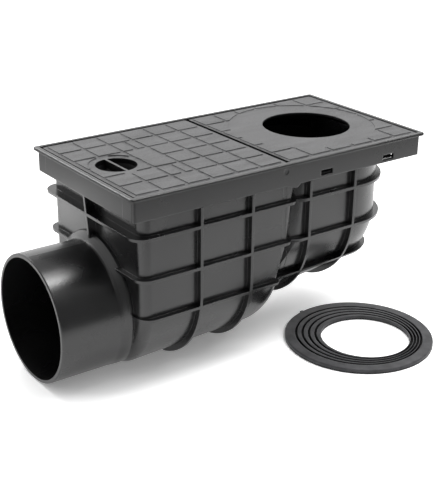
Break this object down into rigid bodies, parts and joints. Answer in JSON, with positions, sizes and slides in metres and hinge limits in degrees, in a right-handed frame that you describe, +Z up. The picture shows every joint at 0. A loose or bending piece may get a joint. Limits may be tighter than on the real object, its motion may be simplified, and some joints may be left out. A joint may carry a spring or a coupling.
{
  "type": "drain inspection chamber",
  "caption": "Rainwater gully for a downpipe: ribbed black tub with a side outlet, a cover frame, a tiled inspection lid, a lid with a downpipe hole and a loose seal ring.",
  "frame": {"origin": "centre of the outlet spigot's open end", "axes": "+X from the spigot's mouth along its axis into the tub, +Z up, so that the long side walls face -Y and +Y"},
  "size_m": [0.3599, 0.2474, 0.1722],
  "materials": {
    "tub": "satin moulded black plastic",
    "frame": "satin moulded black plastic",
    "lid": "fine-textured black plastic",
    "seal": "satin black rubber",
    "insert": "smooth black plastic",
    "pin": "drawn stainless steel"
  },
  "bodies": {
    "gully": {"tub": "tub", "cover_frame": "frame", "inspection_lid": "lid", "downpipe_lid": "lid", "seal_ring": "seal", "leaf_basket": "insert", "flap_frame": "insert", "flap_pin": "pin"},
    "flap": {"odour_flap": "insert"}
  },
  "joints": [
    {"name": "flap_hinge", "type": "hinge", "parent": "gully", "child": "flap", "pos_m": [0.0934, 0, 0.046], "axis": [0, 1, 0], "range_deg": [0, 50]}
  ]
}
